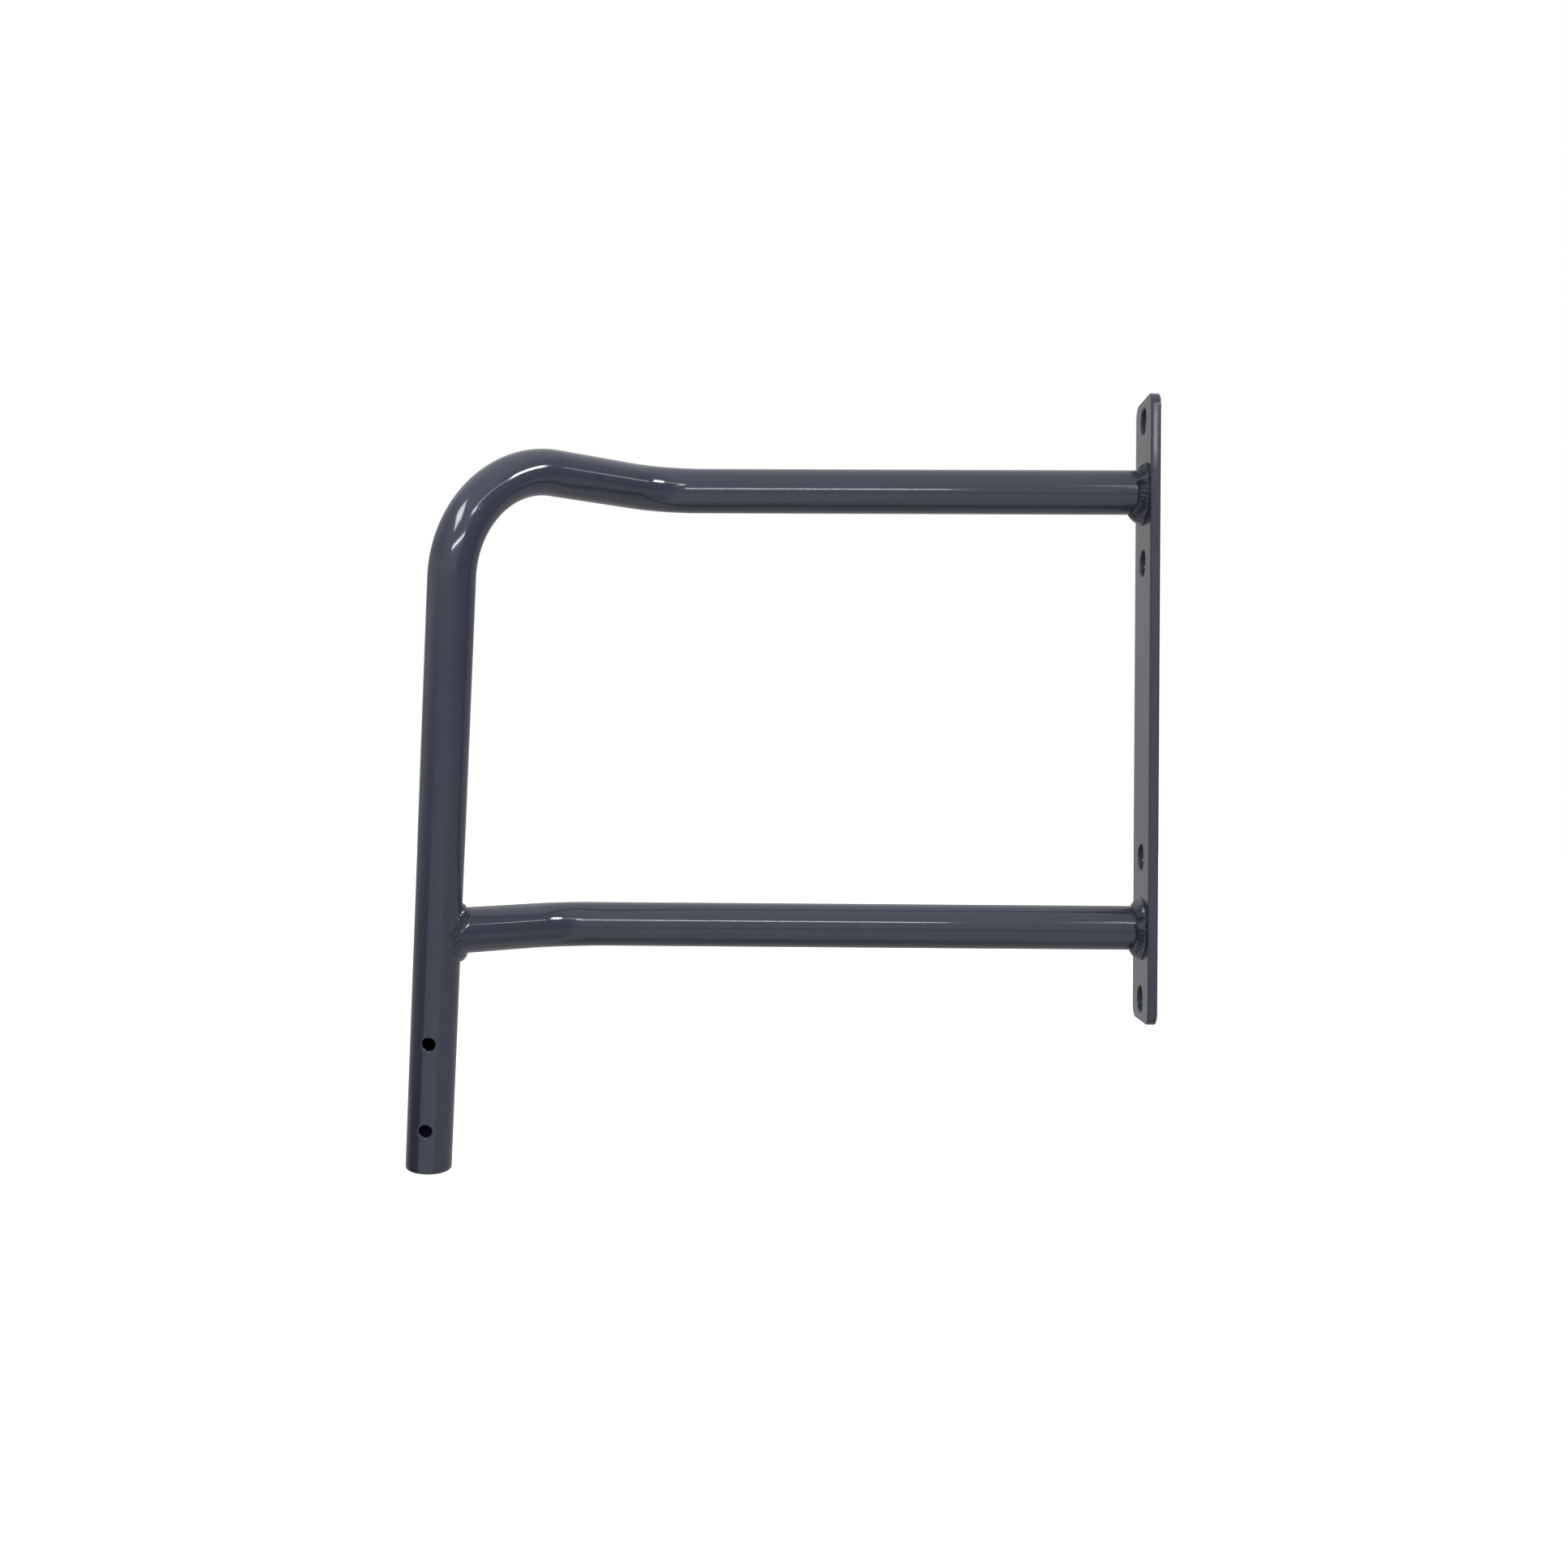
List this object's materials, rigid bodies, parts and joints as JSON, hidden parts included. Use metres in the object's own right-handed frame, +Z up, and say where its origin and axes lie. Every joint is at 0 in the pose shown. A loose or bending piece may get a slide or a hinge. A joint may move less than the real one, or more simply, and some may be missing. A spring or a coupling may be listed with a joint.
{
  "type": "wall bracket for a pull-up bar",
  "caption": "Wall-mounted side bracket of a pull-up bar: a bent steel tube with a hanging leg and a lower stay, welded to a drilled flat wall plate.",
  "frame": {"origin": "centre of the wall plate's flat back face, midway between the two tubes", "axes": "+X goes into the wall, away from the tubes; +Z is up; the tubes bend sideways towards -Y"},
  "size_m": [0.6294, 0.1876, 0.6576],
  "materials": {
    "tube_coat": "glossy anthracite powder coat over steel tube",
    "plate_coat": "glossy anthracite powder coat over flat steel bar",
    "weld_coat": "glossy anthracite powder coat over rippled weld bead"
  },
  "bodies": {
    "root": {"wall_plate": "plate_coat", "arm_tube": "tube_coat", "stay_tube": "tube_coat", "weld_arm_plate": "weld_coat", "weld_stay_plate": "weld_coat", "weld_stay_leg": "weld_coat"}
  },
  "joints": []
}
